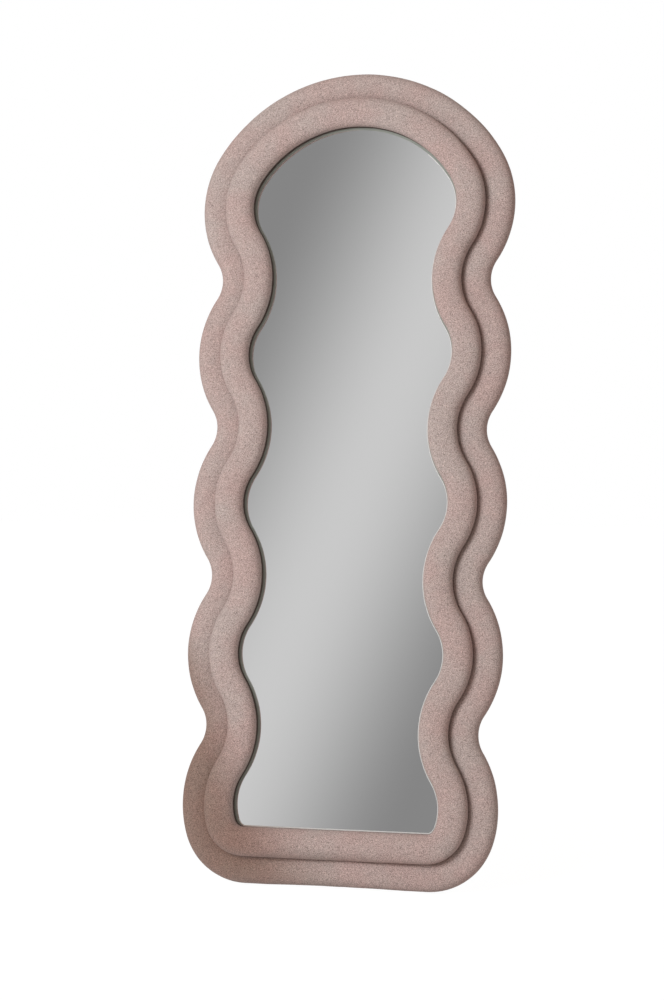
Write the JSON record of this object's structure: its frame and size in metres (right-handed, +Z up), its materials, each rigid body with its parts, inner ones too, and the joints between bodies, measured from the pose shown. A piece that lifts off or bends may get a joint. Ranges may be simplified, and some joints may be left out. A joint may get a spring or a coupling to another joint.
{
  "type": "floor mirror",
  "caption": "Full-length wavy floor mirror: a two-tier padded fabric frame round a recessed glass, leant back on floor pads and a folding rear easel.",
  "frame": {"origin": "on the floor, at the middle of the footprint box of the mirror standing on its pads with the easel open", "axes": "+Z up from the floor, -Y out of the front of the mirror, +X to the right as the viewer faces the glass"},
  "size_m": [0.6348, 0.3384, 1.5905],
  "materials": {
    "cover_fabric": "dusty pink heathered woven cover fabric with a short soft nap",
    "foam": "cut upholstery foam",
    "board": "raw fibreboard",
    "dust_board": "black faced hardboard",
    "backing_sheet": "expanded foam sheet",
    "mirror_glass": "silvered float glass",
    "screw_steel": "zinc-plated cross-recess screws",
    "bracket_paint": "black powder coat on pressed steel",
    "tube_paint": "black powder coat on steel tube",
    "pin_steel": "plated rivet",
    "nylon": "natural nylon",
    "block_plastic": "black moulded nylon",
    "rubber": "matt black rubber",
    "hanger_steel": "nickel-plated steel"
  },
  "bodies": {
    "panel": {"back_board": "dust_board", "outer_core": "board", "inner_core": "board", "outer_foam": "foam", "inner_foam": "foam", "outer_cover": "cover_fabric", "inner_cover": "cover_fabric", "mirror_glass": "mirror_glass", "backing_foam": "backing_sheet", "board_screws": "screw_steel", "ring_screws": "screw_steel", "left_hinge_bracket": "bracket_paint", "right_hinge_bracket": "bracket_paint", "bracket_screws": "screw_steel", "left_hinge_pin": "pin_steel", "right_hinge_pin": "pin_steel", "hinge_washers": "nylon", "left_hanger_strap": "hanger_steel", "right_hanger_strap": "hanger_steel", "hanger_screws": "screw_steel", "left_base_pad": "rubber", "right_base_pad": "rubber", "pad_screws": "screw_steel", "wall_bumpers": "rubber"},
    "easel": {"leg_tube": "tube_paint", "left_pivot_block": "block_plastic", "right_pivot_block": "block_plastic", "left_leg_foot": "rubber", "right_leg_foot": "rubber"},
    "left_ring": {"left_hanger_ring": "hanger_steel"},
    "right_ring": {"right_hanger_ring": "hanger_steel"}
  },
  "joints": [
    {"name": "easel_fold", "type": "hinge", "parent": "panel", "child": "easel", "pos_m": [0, 0.01909, 0.99107], "axis": [-1, 0, 0], "range_deg": [0, 14.8]},
    {"name": "left_ring_swing", "type": "hinge", "parent": "panel", "child": "left_ring", "pos_m": [-0.19, 0.04072, 1.28055], "axis": [1, 0, 0], "range_deg": [-4, 168]},
    {"name": "right_ring_swing", "type": "hinge", "parent": "panel", "child": "right_ring", "pos_m": [0.19, 0.04072, 1.28055], "axis": [1, 0, 0], "range_deg": [-4, 168]}
  ]
}
